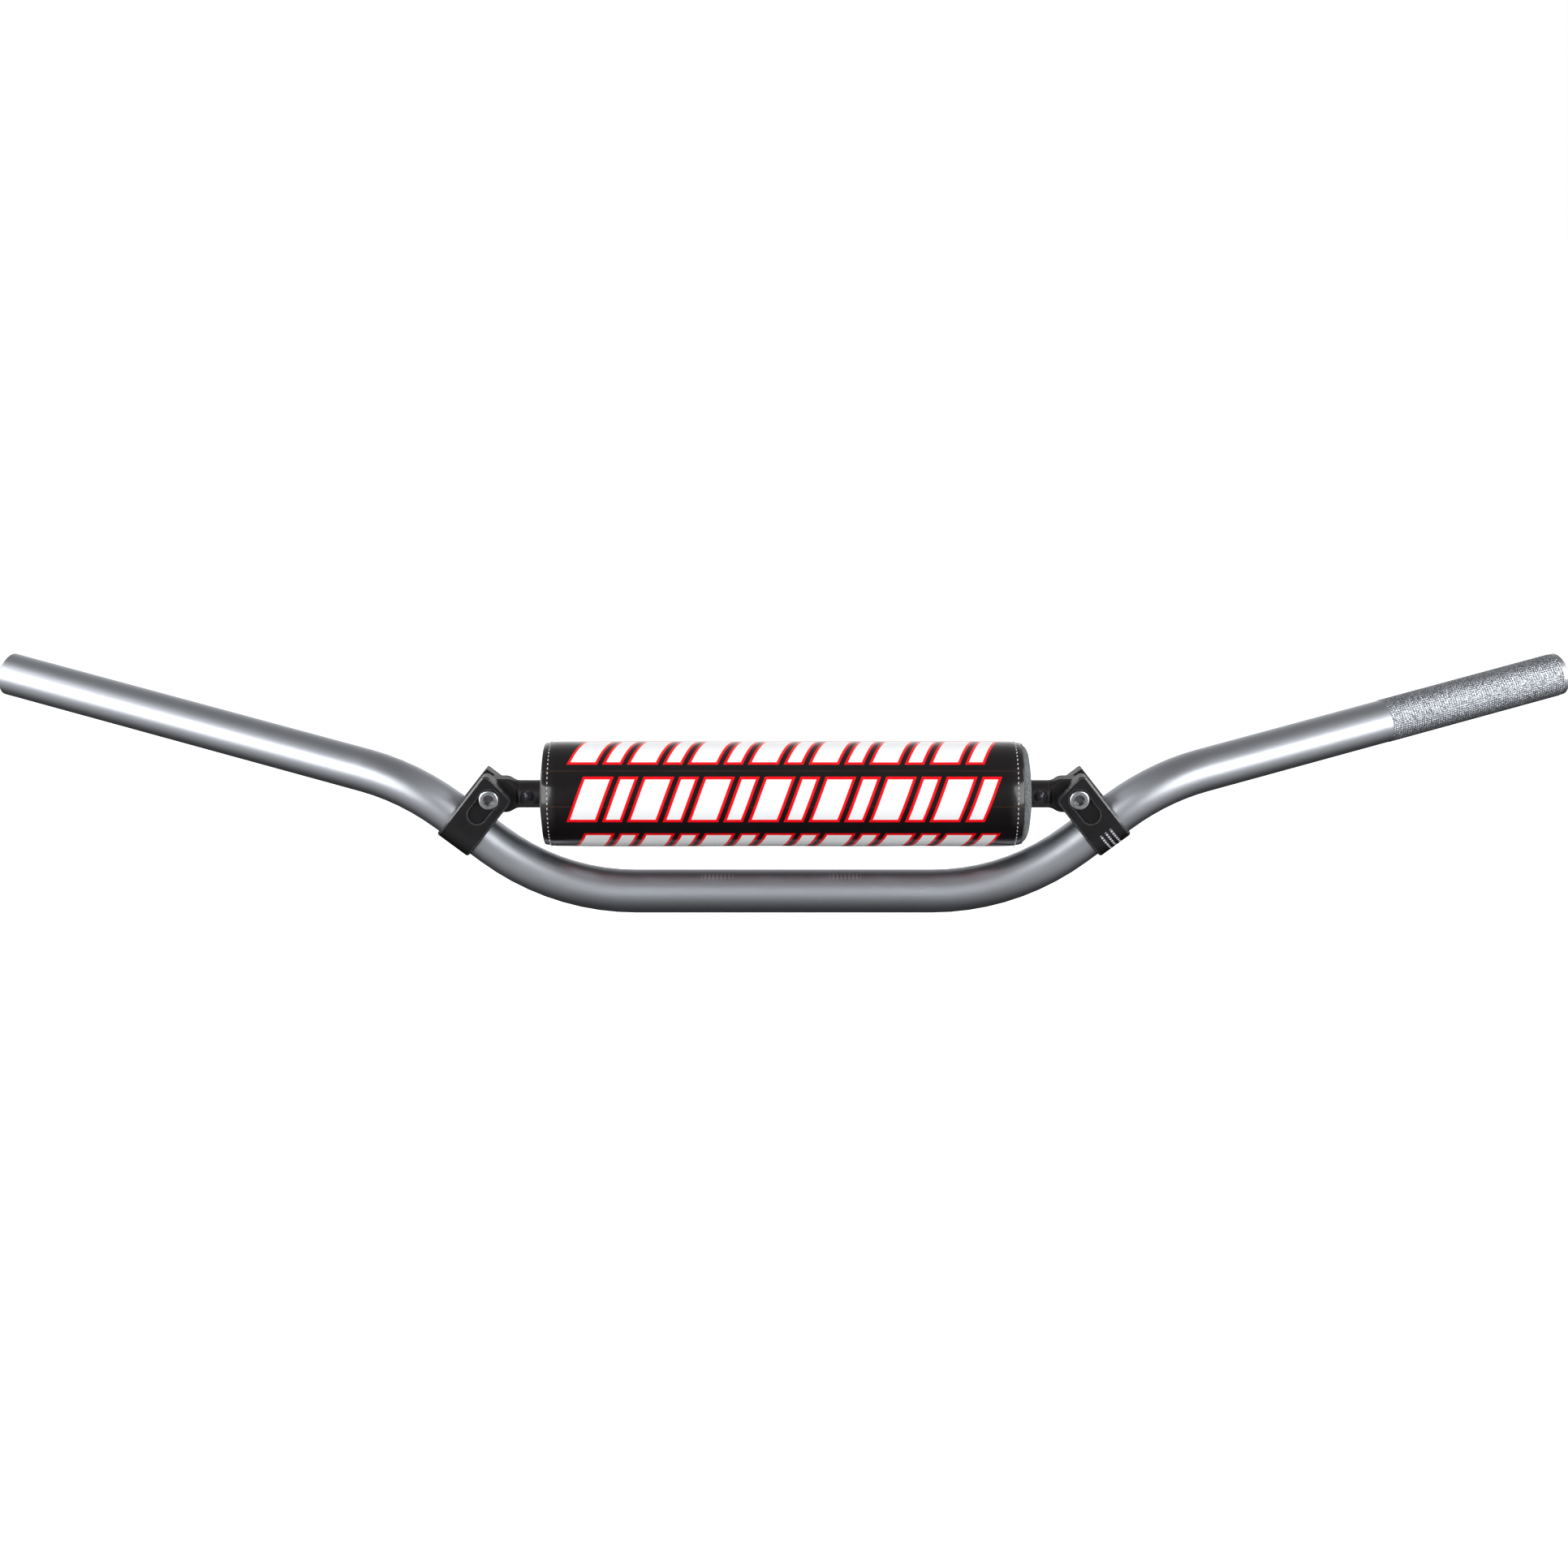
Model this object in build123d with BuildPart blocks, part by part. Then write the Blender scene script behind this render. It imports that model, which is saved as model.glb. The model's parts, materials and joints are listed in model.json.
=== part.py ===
from build123d import *

import os
from math import atan2, cos, degrees, hypot, radians, sin, tan

# A motorcycle handlebar: one bent tube, braced by a crossbar between two clamps, with a
# wrap-round pad on the crossbar. Millimetres. The origin is the middle of the straight
# centre section, where the bike's stem clamps it, on the tube's axis. +X is the rider's
# left, +Y points back to the rider and +Z is up. The left side is modelled, and the right
# side is its mirror image.

# Bent tube: straight lengths, bend radii to the tube's axis, and angles
bar_diameter = 22.2
bar_wall = 4.0
centre_straight = 152.0
lower_bend_radius = 116.4
riser_angle = 38.15
riser_straight = 28.5
upper_bend_radius = 90.0
arm_sweep = 15.07
arm_rise = 11.02
arm_straight = 206.1
bar_end_chamfer = 0.8

# Crossbar clamps: one-piece bands on the risers, drawn together by a bolt through two ears
clamp_width = 19.2
band_wall = 1.8
clamp_bend_gap = 2.1
rear_ear_height = 7.6
front_ear_inner_height = 7.0
front_ear_outer_height = 9.8
front_ear_corner = 3.2
rear_ear_corner = 0.8
clamp_edge_chamfer = 0.7
run_out_length = 10.5
run_out_width = 9.8
run_out_lift = 1.0
run_out_angle = 9.0
ear_gap_clearance = 0.1

# Socket-head clamp bolts
bolt_diameter = 6.0
bolt_length = 20.0
bolt_head_diameter = 10.0
bolt_head_height = 6.0
bolt_head_proud = 0.9
bolt_socket_across_flats = 5.0
bolt_socket_depth = 3.0
bolt_head_edge = 0.7
bolt_tip_chamfer = 0.6
bolt_clearance = 0.25
recess_clearance = 0.45

# Crossbar: a round tube, with a lug riveted into each end
crossbar_diameter = 14.0
crossbar_wall = 2.0
eye_diameter = 17.4
eye_thickness = 10.0
eye_round_diameter = 19.0
eye_bar_clearance = 1.0
eye_ear_clearance = 0.3
lug_blend = 2.2
lug_shoulder = 7.0
shank_length = 16.0
rivet_inset = 4.3
rivet_diameter = 4.0
rivet_head_diameter = 5.8
rivet_head_height = 1.6
spotface_diameter = 7.8
spotface_depth = 1.2

# Wrap-round pad: a slit foam sleeve in a sewn cover
foam_diameter = 51.0
foam_crossbar_clearance = 0.08
foam_end_gap = 9.3
foam_end_radius = 4.0
foam_beyond_cover = 4.5
cover_thickness = 1.3
wrap_opening_angle = 20.0
wrap_opening = 2.0
stitch_inset = 3.3
thread_diameter = 0.6

# Closing flap: sewn to the cover above the opening, and held below it by hook and loop
flap_inset = 6.5
flap_thickness = 1.2
flap_top_angle = 28.0
flap_bottom_angle = -46.0
hem_diameter = 2.6
hem_clearance = 0.3
strip_inset = 14.0
hook_thickness = 0.8
hook_top_angle = 12.0
hook_bottom_angle = -40.0
loop_thickness = 0.7
loop_top_angle = 8.0
loop_bottom_angle = -43.0
hook_loop_clearance = 0.3

# Radii and directions that follow from the sizes above
bar_radius = bar_diameter / 2
band_radius = bar_radius + band_wall
crossbar_radius = crossbar_diameter / 2
bolt_reach = bar_radius + eye_bar_clearance + eye_diameter / 2
foam_radius = foam_diameter / 2
cover_radius = foam_radius + cover_thickness
hook_radius = cover_radius + hook_thickness
loop_radius = hook_radius + hook_loop_clearance
flap_radius = loop_radius + loop_thickness
hem_centre_radius = cover_radius + hem_clearance + hem_diameter / 2

riser_direction = Vector(cos(radians(riser_angle)), 0, sin(radians(riser_angle)))
reach_direction = Vector(-sin(radians(riser_angle)), 0, cos(radians(riser_angle)))
arm_direction = Vector(
    cos(radians(arm_rise)) * cos(radians(arm_sweep)),
    cos(radians(arm_rise)) * sin(radians(arm_sweep)),
    sin(radians(arm_rise)),
)
upper_turn = riser_direction.get_angle(arm_direction)
lower_tangent = lower_bend_radius * tan(radians(riser_angle / 2))
upper_tangent = upper_bend_radius * tan(radians(upper_turn / 2))

# Corners where the axes of the straight lengths meet
lower_corner = Vector(centre_straight / 2 + lower_tangent, 0, 0)
upper_corner = lower_corner + riser_direction * (lower_tangent + riser_straight + upper_tangent)
bar_end = upper_corner + arm_direction * (upper_tangent + arm_straight)

# The clamp stands at the riser's upper end, and its bolt carries the crossbar's eye
clamp_station = lower_tangent + riser_straight - clamp_bend_gap - clamp_width / 2
clamp_centre = lower_corner + riser_direction * clamp_station
bolt_centre = clamp_centre + reach_direction * bolt_reach
crossbar_height = bolt_centre.Z

# The eye's flats run just past the ears' inner corners, and the round neck follows them
ear_reach = reach_direction * rear_ear_height - riser_direction * clamp_width / 2
flats_end = eye_ear_clearance - ear_reach.X
lug_neck = flats_end + lug_blend
crossbar_half = bolt_centre.X - lug_neck
foam_half = crossbar_half - foam_end_gap
cover_half = foam_half - foam_beyond_cover
flap_half = cover_half - flap_inset
strip_half = flap_half - strip_inset
crossbar_axis = Axis((0, 0, crossbar_height), (1, 0, 0))
rivet_x = crossbar_half - rivet_inset


def mirrored_x(point):
    return Vector(-point.X, point.Y, point.Z)


def radial_plane(angle):
    """Plane through the crossbar's axis: its x runs along the bar, its y outwards at the
    angle, which is measured from the rear towards the top."""
    across = Vector(0, -sin(radians(angle)), cos(radians(angle)))
    return Plane(origin=(0, 0, crossbar_height), x_dir=(1, 0, 0), z_dir=across)


# Handlebar tube: each straight and each bend of the route is swept with the same ring
with BuildLine() as route:
    FilletPolyline(
        mirrored_x(bar_end),
        mirrored_x(upper_corner),
        mirrored_x(lower_corner),
        lower_corner,
        upper_corner,
        bar_end,
        radius=[upper_bend_radius, lower_bend_radius, lower_bend_radius, upper_bend_radius],
    )

with BuildPart() as handlebar_tube:
    for run in route.edges():
        with BuildSketch(Plane(origin=run @ 0, z_dir=run % 0)):
            Circle(bar_radius)
            Circle(bar_radius - bar_wall, mode=Mode.SUBTRACT)
        sweep(path=run)
    bar_end_rims = [
        face.outer_wire().edges() for face in handlebar_tube.faces().filter_by(GeomType.PLANE)
    ]
    for rim in bar_end_rims:
        chamfer(rim, length=bar_end_chamfer)

# Clamp: a U-shaped strap round the riser. Its section is drawn square to the riser, with x
# towards the rider and y towards the crossbar
clamp_plane = Plane(origin=clamp_centre, x_dir=(0, 1, 0), z_dir=riser_direction)
rear_tip = bolt_reach + rear_ear_height
front_outer_tip = bolt_reach + front_ear_outer_height
front_inner_tip = bolt_reach + front_ear_inner_height
ear_gap = eye_thickness / 2 + ear_gap_clearance
bolt_seat = band_radius - bolt_head_height + bolt_head_proud
recess_radius = bolt_head_diameter / 2 + recess_clearance


def on_clamp_outline(edge):
    """Whether an edge runs round the outside of the strap, on its sides or an ear's face."""
    middle = clamp_plane.to_local_coords(edge @ 0.5)
    on_skin = abs(hypot(middle.X, min(middle.Y, 0)) - band_radius) < clamp_edge_chamfer / 10
    return on_skin and abs(middle.Y) > clamp_edge_chamfer


with BuildPart() as clamp:
    with BuildSketch(clamp_plane):
        Circle(band_radius)
        with Locations((band_radius / 2, rear_tip / 2)):
            Rectangle(band_radius, rear_tip)
        with Locations((-band_radius / 2, front_outer_tip / 2)):
            Rectangle(band_radius, front_outer_tip)
        Circle(bar_radius, mode=Mode.SUBTRACT)
        with Locations((0, front_outer_tip / 2)):
            Rectangle(2 * ear_gap, front_outer_tip, mode=Mode.SUBTRACT)
    extrude(amount=clamp_width / 2, both=True)
    # The front ear's tip slopes down towards the middle of the bar
    with BuildSketch(Plane(origin=clamp_centre, x_dir=riser_direction, z_dir=(0, -1, 0))):
        with BuildLine():
            Polyline(
                (-clamp_width / 2, front_inner_tip),
                (clamp_width / 2, front_outer_tip),
                (clamp_width / 2, 2 * front_outer_tip),
                (-clamp_width / 2, 2 * front_outer_tip),
                close=True,
            )
        make_face()
    extrude(amount=2 * band_radius, mode=Mode.SUBTRACT)
    ear_corners = clamp.edges().filter_by(Axis.Y).group_by(Axis.Y)
    fillet(ear_corners[0].sort_by(Axis.Z)[-2:], radius=front_ear_corner)
    ear_corners = clamp.edges().filter_by(Axis.Y).group_by(Axis.Y)
    fillet(ear_corners[-1].sort_by(Axis.Z)[-2:], radius=rear_ear_corner)
    chamfer(clamp.edges().filter_by(on_clamp_outline), length=clamp_edge_chamfer)
    # Recess for the bolt's head, with a run-out that rises towards the tube
    with BuildSketch(Plane(origin=bolt_centre + Vector(0, -bolt_seat, 0), z_dir=(0, -1, 0))):
        Circle(recess_radius)
    extrude(amount=band_radius, mode=Mode.SUBTRACT)
    run_out_slope = Vector(0, -sin(radians(run_out_angle)), 0)
    run_out_plane = Plane(
        origin=bolt_centre + Vector(0, -bolt_seat - run_out_lift, 0),
        x_dir=run_out_slope - reach_direction * cos(radians(run_out_angle)),
        z_dir=reach_direction * sin(radians(run_out_angle)) - Vector(0, cos(radians(run_out_angle)), 0),
    )
    with BuildSketch(run_out_plane):
        with Locations((run_out_length / 2, 0)):
            SlotCenterToCenter(run_out_length, run_out_width)
    extrude(amount=band_radius, mode=Mode.SUBTRACT)
    # Clearance hole in the front ear and tapped hole in the rear ear
    with BuildSketch(Plane(origin=bolt_centre, z_dir=(0, -1, 0))):
        Circle(bolt_diameter / 2 + bolt_clearance)
    extrude(amount=band_radius, mode=Mode.SUBTRACT)
    with BuildSketch(Plane(origin=bolt_centre, z_dir=(0, 1, 0))):
        Circle(bolt_diameter / 2)
    extrude(amount=2 * band_radius, mode=Mode.SUBTRACT)

# Clamp bolt: the head seats in the front ear's recess, and the thread is in the rear ear
with BuildPart() as clamp_bolt:
    with BuildSketch(Plane(origin=bolt_centre + Vector(0, -bolt_seat, 0), z_dir=(0, -1, 0))):
        Circle(bolt_head_diameter / 2)
    extrude(amount=bolt_head_height)
    head_face = clamp_bolt.faces().sort_by(Axis.Y)[0]
    fillet(head_face.edges(), radius=bolt_head_edge)
    with BuildSketch(Plane(origin=head_face.center(), z_dir=(0, -1, 0))):
        RegularPolygon(bolt_socket_across_flats / 2, 6, major_radius=False)
    extrude(amount=-bolt_socket_depth, mode=Mode.SUBTRACT)
    with BuildSketch(Plane(origin=bolt_centre + Vector(0, -bolt_seat, 0), z_dir=(0, 1, 0))):
        Circle(bolt_diameter / 2)
    extrude(amount=bolt_length)
    chamfer(clamp_bolt.faces().sort_by(Axis.Y)[-1].edges(), length=bolt_tip_chamfer)

# Crossbar lug: a flattened eye that swells from a round neck, and a shank in the tube. It is
# drawn from the bolt's axis, with x towards the middle of the bar
shoulder_control = (lug_neck - lug_shoulder) / 2
blend_control = lug_blend / 2
with BuildPart() as crossbar_lug:
    with BuildSketch(Plane(origin=bolt_centre, x_dir=(-1, 0, 0), z_dir=(0, 1, 0))):
        with BuildLine():
            CenterArc((0, 0), eye_diameter / 2, 90, 180)
            Line((0, eye_diameter / 2), (lug_shoulder, eye_diameter / 2))
            Bezier(
                (lug_shoulder, eye_diameter / 2),
                (lug_shoulder + shoulder_control, eye_diameter / 2),
                (lug_neck - shoulder_control, crossbar_radius),
                (lug_neck, crossbar_radius),
            )
            Line((lug_neck, crossbar_radius), (lug_neck, -crossbar_radius))
            Bezier(
                (lug_neck, -crossbar_radius),
                (lug_neck - shoulder_control, -crossbar_radius),
                (lug_shoulder + shoulder_control, -eye_diameter / 2),
                (lug_shoulder, -eye_diameter / 2),
            )
            Line((lug_shoulder, -eye_diameter / 2), (0, -eye_diameter / 2))
        make_face()
    extrude(amount=crossbar_radius, both=True)
    # The eye's flats
    with BuildSketch(Plane(origin=bolt_centre, x_dir=(-1, 0, 0), z_dir=(0, 0, -1))):
        with BuildLine():
            flats = Polyline(
                (flats_end, eye_thickness / 2),
                (-eye_diameter, eye_thickness / 2),
                (-eye_diameter, -eye_thickness / 2),
                (flats_end, -eye_thickness / 2),
            )
            Bezier(
                flats @ 1,
                (flats_end + blend_control, -eye_thickness / 2),
                (lug_neck - blend_control, -crossbar_radius),
                (lug_neck, -crossbar_radius),
            )
            Line((lug_neck, -crossbar_radius), (lug_neck, crossbar_radius))
            Bezier(
                (lug_neck, crossbar_radius),
                (lug_neck - blend_control, crossbar_radius),
                (flats_end + blend_control, eye_thickness / 2),
                flats @ 0,
            )
        make_face()
    extrude(amount=eye_diameter, both=True, mode=Mode.INTERSECT)
    # The round neck
    with BuildSketch(Plane(origin=bolt_centre, x_dir=(-1, 0, 0), z_dir=(0, 1, 0))):
        with BuildLine():
            turned = Polyline(
                (lug_shoulder, eye_round_diameter / 2),
                (-eye_diameter, eye_round_diameter / 2),
                (-eye_diameter, 0),
                (lug_neck, 0),
                (lug_neck, crossbar_radius),
            )
            Bezier(
                turned @ 1,
                (lug_neck - shoulder_control, crossbar_radius),
                (lug_shoulder + shoulder_control, eye_round_diameter / 2),
                turned @ 0,
            )
        make_face()
    revolve(axis=crossbar_axis, mode=Mode.INTERSECT)
    with BuildSketch(Plane(origin=(crossbar_half, 0, crossbar_height), z_dir=(-1, 0, 0))):
        Circle(crossbar_radius - crossbar_wall)
    extrude(amount=shank_length)
    with BuildSketch(Plane(origin=bolt_centre, z_dir=(0, 1, 0))):
        Circle(bolt_diameter / 2 + bolt_clearance)
    extrude(amount=eye_thickness, both=True, mode=Mode.SUBTRACT)
    with BuildSketch(Plane(origin=(rivet_x, 0, crossbar_height), z_dir=(0, 1, 0))):
        Circle(rivet_diameter / 2)
    extrude(amount=crossbar_radius, both=True, mode=Mode.SUBTRACT)

# Crossbar tube, spot-faced front and rear for the rivets' heads
spotface_seat = crossbar_radius - spotface_depth
with BuildPart() as crossbar_tube:
    with BuildSketch(Plane(origin=(0, 0, crossbar_height), z_dir=(1, 0, 0))):
        Circle(crossbar_radius)
        Circle(crossbar_radius - crossbar_wall, mode=Mode.SUBTRACT)
    extrude(amount=crossbar_half, both=True)
    for x in (-rivet_x, rivet_x):
        for facing in (-1, 1):
            seat = Plane(origin=(x, facing * spotface_seat, crossbar_height), z_dir=(0, facing, 0))
            with BuildSketch(seat):
                Circle(spotface_diameter / 2)
            extrude(amount=crossbar_radius, mode=Mode.SUBTRACT)
        with BuildSketch(Plane(origin=(x, 0, crossbar_height), z_dir=(0, 1, 0))):
            Circle(rivet_diameter / 2)
        extrude(amount=crossbar_radius, both=True, mode=Mode.SUBTRACT)

# Rivet: a shank through tube and lug, with a domed head on each spot face. A quarter of its
# outline is drawn with x from the rivet's axis and y towards the rider
head_radius = rivet_head_diameter / 2
dome_radius = (head_radius**2 + rivet_head_height**2) / (2 * rivet_head_height)
dome_centre = spotface_seat + rivet_head_height - dome_radius
rim_angle = degrees(atan2(spotface_seat - dome_centre, head_radius))
with BuildPart() as lug_rivet:
    with BuildSketch(Plane(origin=(rivet_x, 0, crossbar_height), z_dir=(0, 0, 1))):
        with BuildLine():
            Polyline(
                (rivet_diameter / 2, 0),
                (rivet_diameter / 2, spotface_seat),
                (head_radius, spotface_seat),
            )
            CenterArc((0, dome_centre), dome_radius, rim_angle, 90 - rim_angle)
            Line((0, spotface_seat + rivet_head_height), (0, 0))
            mirror(about=Plane.XZ)
        make_face()
    revolve(axis=Axis((rivet_x, 0, crossbar_height), (0, 1, 0)))

# Foam sleeve, slit along its rear so that it opens over the crossbar
wrap_gap_angle = wrap_opening / radians(cover_radius)
with BuildPart() as pad_foam:
    foam_bore = crossbar_radius + foam_crossbar_clearance
    with BuildSketch(radial_plane(wrap_opening_angle + wrap_gap_angle / 2)) as foam_profile:
        with Locations((0, (foam_bore + foam_radius) / 2)):
            Rectangle(2 * foam_half, foam_radius - foam_bore)
        fillet(foam_profile.vertices().sort_by(Axis.Y)[-2:], radius=foam_end_radius)
    revolve(axis=crossbar_axis, revolution_arc=360 - wrap_gap_angle)

# Cover, with a shallow channel near each hem where the stitching draws it in
stitch_x = cover_half - stitch_inset
with BuildPart() as pad_cover:
    with BuildSketch(radial_plane(wrap_opening_angle + wrap_gap_angle / 2)):
        with Locations((0, foam_radius + cover_thickness / 2)):
            Rectangle(2 * cover_half, cover_thickness)
        with Locations((-stitch_x, cover_radius), (stitch_x, cover_radius)):
            Circle(thread_diameter / 2, mode=Mode.SUBTRACT)
    revolve(axis=crossbar_axis, revolution_arc=360 - wrap_gap_angle)

with BuildPart() as pad_stitching:
    with BuildSketch(radial_plane(wrap_opening_angle + wrap_gap_angle / 2)):
        with Locations((stitch_x, cover_radius)):
            Circle(thread_diameter / 2)
    revolve(axis=crossbar_axis, revolution_arc=360 - wrap_gap_angle)

# Hook strip, sewn to the cover below the opening
with BuildPart() as pad_hook_strip:
    with BuildSketch(radial_plane(hook_bottom_angle)):
        with Locations((0, cover_radius + hook_thickness / 2)):
            Rectangle(2 * strip_half, hook_thickness)
    revolve(axis=crossbar_axis, revolution_arc=hook_top_angle - hook_bottom_angle)

# Flap: a curved sheet that folds about the round hem along its top edge
with BuildPart() as pad_flap:
    with BuildSketch(radial_plane(flap_bottom_angle)):
        with Locations((0, flap_radius + flap_thickness / 2)):
            Rectangle(2 * flap_half, flap_thickness)
    revolve(axis=crossbar_axis, revolution_arc=flap_top_angle - flap_bottom_angle)
    hem_offset = Vector(0, cos(radians(flap_top_angle)), sin(radians(flap_top_angle)))
    hem_centre = Vector(0, 0, crossbar_height) + hem_offset * hem_centre_radius
    with BuildSketch(Plane(origin=hem_centre, z_dir=(1, 0, 0))):
        Circle(hem_diameter / 2)
    extrude(amount=flap_half, both=True)

# Loop strip, sewn inside the flap opposite the hooks
with BuildPart() as pad_loop_strip:
    with BuildSketch(radial_plane(loop_bottom_angle)):
        with Locations((0, loop_radius + loop_thickness / 2)):
            Rectangle(2 * strip_half, loop_thickness)
    revolve(axis=crossbar_axis, revolution_arc=loop_top_angle - loop_bottom_angle)

os.makedirs("parts", exist_ok=True)

# Pieces that the object has once
handlebar_tube.part.label = "handlebar_tube"
export_step(handlebar_tube.part, "parts/handlebar_tube.step")
crossbar_tube.part.label = "crossbar_tube"
export_step(crossbar_tube.part, "parts/crossbar_tube.step")
pad_foam.part.label = "pad_foam"
export_step(pad_foam.part, "parts/pad_foam.step")
pad_cover.part.label = "pad_cover"
export_step(pad_cover.part, "parts/pad_cover.step")
pad_hook_strip.part.label = "pad_hook_strip"
export_step(pad_hook_strip.part, "parts/pad_hook_strip.step")
pad_flap.part.label = "pad_flap"
export_step(pad_flap.part, "parts/pad_flap.step")
pad_loop_strip.part.label = "pad_loop_strip"
export_step(pad_loop_strip.part, "parts/pad_loop_strip.step")

# Pieces that the object has on both sides
paired_pieces = {
    "crossbar_clamp": clamp,
    "clamp_bolt": clamp_bolt,
    "crossbar_lug": crossbar_lug,
    "lug_rivet": lug_rivet,
    "pad_stitching": pad_stitching,
}
for name, left in paired_pieces.items():
    left.part.label = f"{name}_left"
    export_step(left.part, f"parts/{name}_left.step")
    with BuildPart() as right:
        mirror(left.part, about=Plane.YZ)
    right.part.label = f"{name}_right"
    export_step(right.part, f"parts/{name}_right.step")
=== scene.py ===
import json
import math

import bmesh
import bpy
from mathutils import Matrix, Vector, noise


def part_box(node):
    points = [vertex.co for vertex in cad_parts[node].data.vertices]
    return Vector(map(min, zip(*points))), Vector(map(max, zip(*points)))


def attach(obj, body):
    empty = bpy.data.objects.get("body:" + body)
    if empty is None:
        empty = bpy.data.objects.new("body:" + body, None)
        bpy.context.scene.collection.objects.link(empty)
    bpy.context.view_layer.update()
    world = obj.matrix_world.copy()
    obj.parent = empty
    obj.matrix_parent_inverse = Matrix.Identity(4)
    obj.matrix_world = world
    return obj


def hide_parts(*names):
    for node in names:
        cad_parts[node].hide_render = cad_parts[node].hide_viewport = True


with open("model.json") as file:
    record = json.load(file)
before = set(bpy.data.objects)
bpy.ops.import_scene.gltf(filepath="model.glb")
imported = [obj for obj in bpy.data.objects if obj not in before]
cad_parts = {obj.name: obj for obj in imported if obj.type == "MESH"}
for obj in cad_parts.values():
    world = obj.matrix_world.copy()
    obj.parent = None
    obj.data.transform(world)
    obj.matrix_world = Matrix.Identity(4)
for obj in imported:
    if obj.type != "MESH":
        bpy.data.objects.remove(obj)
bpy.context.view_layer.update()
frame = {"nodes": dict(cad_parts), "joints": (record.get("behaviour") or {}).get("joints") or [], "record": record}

# A motorcycle handlebar with a padded crossbar. The pieces take their places from the
# imported joints, mounts and node boxes.
joints = {joint["name"]: joint for joint in frame["joints"]}
mounts = {mount["name"]: mount for mount in frame["record"]["mounts"]}
crossbar_centre = Vector(joints["pad_turn"]["pos_m"])


# Camera: a normal lens in front of the bar and a little above it. It is aimed just above
# the crossbar, and the horizon is level.
camera_lens = 52.1
camera_elevation = math.radians(14.54)
camera_distance = 1.150
camera_aim = Vector((0.0, 0.0, 0.0567))
camera_back = Vector((0.0, -math.cos(camera_elevation), math.sin(camera_elevation)))
bpy.ops.object.select_all(action="DESELECT")
bpy.ops.object.camera_add(
    location=camera_aim + camera_back * camera_distance,
    rotation=(math.pi / 2 - camera_elevation, 0.0, 0.0),
)
camera = bpy.context.object
camera.name = "studio_camera"
camera.data.lens = camera_lens
bpy.context.scene.camera = camera


# Studio: a wide pale floor and a white backdrop, with a large soft box on each side of the
# camera and a narrow edge light beyond each. What the bar mirrors is a darker room, which
# gives bright metal its dark edges.
bpy.context.scene.view_settings.view_transform = "Standard"


def add_node(tree, kind, inputs=None, **settings):
    """Adds a node with its settings, and feeds its inputs from values or other outputs."""
    node = tree.nodes.new("ShaderNode" + kind)
    for name, value in settings.items():
        setattr(node, name, value)
    for socket, value in (inputs or {}).items():
        if isinstance(value, bpy.types.NodeSocket):
            tree.links.new(value, node.inputs[socket])
        else:
            node.inputs[socket].default_value = value
    return node


def sum_of(tree, operation, *terms):
    """The result of one sum on values or outputs."""
    return add_node(tree, "Math", dict(enumerate(terms)), operation=operation).outputs[0]


def grey_steps(tree, position, steps):
    """A ramp that gives each position from 0 to 1 its own grey."""
    ramp = add_node(tree, "ValToRGB", {"Fac": position})
    elements = ramp.color_ramp.elements
    for where, grey in steps[1:-1]:
        elements.new(where)
    for element, (where, grey) in zip(elements, steps):
        element.color = (grey, grey, grey, 1.0)
    return ramp.outputs["Color"]


floor_height = -0.30
floor_size = 60.0
floor_grey = 0.80
floor_roughness = 0.9
floor_glow = 0.86
bpy.ops.object.select_all(action="DESELECT")
bpy.ops.mesh.primitive_plane_add(size=floor_size, location=(0.0, 0.0, floor_height))
floor = bpy.context.object
floor.name = "studio_floor"
floor.visible_glossy = False
floor.visible_diffuse = False
floor.visible_shadow = False
floor_paint = bpy.data.materials.new("studio_floor_paint")
floor_paint.use_nodes = True
floor_shader = floor_paint.node_tree.nodes["Principled BSDF"]
floor_shader.inputs["Base Color"].default_value = (floor_grey, floor_grey, floor_grey, 1.0)
floor_shader.inputs["Roughness"].default_value = floor_roughness
floor_shader.inputs["Emission Color"].default_value = (1.0, 1.0, 1.0, 1.0)
floor_shader.inputs["Emission Strength"].default_value = floor_glow
floor.data.materials.append(floor_paint)

# Greys of the room by height, from straight below at 0 to straight above at 1
studio_front = [
    (0.0, 0.01), (0.25, 0.02), (0.40, 0.05), (0.5, 0.08),
    (0.70, 0.09), (0.90, 0.10), (1.0, 0.14),
]
studio_side = [
    (0.0, 0.02), (0.06, 0.10), (0.18, 0.40), (0.32, 0.55),
    (0.5, 0.36), (0.75, 0.20), (1.0, 0.26),
]
studio_rear = [
    (0.0, 0.01), (0.30, 0.01), (0.44, 0.15), (0.475, 1.0),
    (0.62, 1.0), (0.80, 0.42), (1.0, 0.17),
]
front_edge = 0.12
side_edge = 0.35
rear_edge = 0.25
backdrop_white = (1.0, 1.0, 1.0, 1.0)
studio = bpy.data.worlds.new("studio")
studio.use_nodes = True
bpy.context.scene.world = studio
sky = studio.node_tree
direction = add_node(sky, "SeparateXYZ", {0: add_node(sky, "TexCoord").outputs["Generated"]})
height = add_node(
    sky, "MapRange", {"Value": direction.outputs["Z"], "From Min": -1.0}
).outputs[0]
depth = add_node(
    sky,
    "MapRange",
    {"Value": direction.outputs["Y"], "From Min": -rear_edge, "From Max": rear_edge},
).outputs[0]
from_middle = sum_of(sky, "ABSOLUTE", direction.outputs["X"])
sideways = add_node(
    sky, "MapRange", {"Value": from_middle, "From Min": front_edge, "From Max": side_edge}
).outputs[0]
front = grey_steps(sky, height, studio_front)
beside = grey_steps(sky, height, studio_side)
ahead = add_node(sky, "Mix", {0: sideways, 6: front, 7: beside}, data_type="RGBA").outputs[2]
behind = grey_steps(sky, height, studio_rear)
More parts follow.
